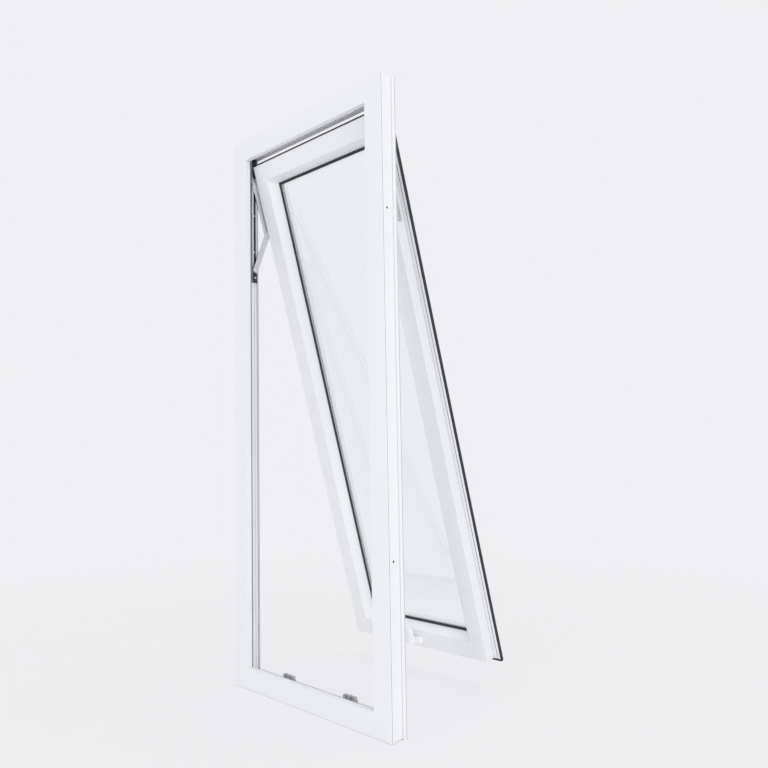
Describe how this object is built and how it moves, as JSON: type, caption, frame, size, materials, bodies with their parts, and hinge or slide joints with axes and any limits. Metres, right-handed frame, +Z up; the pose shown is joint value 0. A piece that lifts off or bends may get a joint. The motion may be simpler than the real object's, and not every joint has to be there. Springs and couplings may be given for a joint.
{
  "type": "top hung awning window",
  "caption": "Tall white aluminium window whose double glazed sash hangs from the top on friction stays and stands open at the bottom, with a lever handle on its lower rail.",
  "frame": {"origin": "middle of the sill's underside, at the room side's face", "axes": "+X along the sill, to the right as seen from the room; +Y from the room to the outside, the way the sash opens; +Z up"},
  "size_m": [0.6, 0.4515, 1.5],
  "materials": {
    "white_aluminium": "white powder coat",
    "black_rubber": "matte",
    "clear_glass": "clear",
    "stainless_steel": "brushed",
    "dark_zinc": "passivated",
    "white_lacquer": "gloss",
    "white_silicone": "satin",
    "spacer_aluminium": "mill",
    "black_plastic": "matte"
  },
  "bodies": {
    "root": {"frame_sill": "white_aluminium", "frame_head": "white_aluminium", "frame_left_jamb": "white_aluminium", "frame_right_jamb": "white_aluminium", "frame_stop_gasket": "black_rubber", "sash_bottom_rail": "white_aluminium", "sash_top_rail": "white_aluminium", "sash_left_stile": "white_aluminium", "sash_right_stile": "white_aluminium", "bottom_glazing_bead": "white_aluminium", "top_glazing_bead": "white_aluminium", "left_glazing_bead": "white_aluminium", "right_glazing_bead": "white_aluminium", "inner_glass_pane": "clear_glass", "outer_glass_pane": "clear_glass", "glass_spacer": "spacer_aluminium", "inner_glazing_gasket": "black_rubber", "outer_glazing_gasket": "white_silicone", "sash_edge_gasket": "black_rubber", "left_stay_track": "stainless_steel", "left_stay_slider": "stainless_steel", "left_slider_arm": "stainless_steel", "left_sash_arm": "stainless_steel", "left_support_arm": "stainless_steel", "left_stay_end_block": "black_plastic", "left_stay_top_block": "black_plastic", "right_stay_track": "stainless_steel", "right_stay_slider": "stainless_steel", "right_slider_arm": "stainless_steel", "right_sash_arm": "stainless_steel", "right_support_arm": "stainless_steel", "right_stay_end_block": "black_plastic", "right_stay_top_block": "black_plastic", "handle_base": "white_lacquer", "handle_lever": "white_lacquer", "left_keep": "dark_zinc", "right_keep": "dark_zinc"}
  },
  "joints": []
}
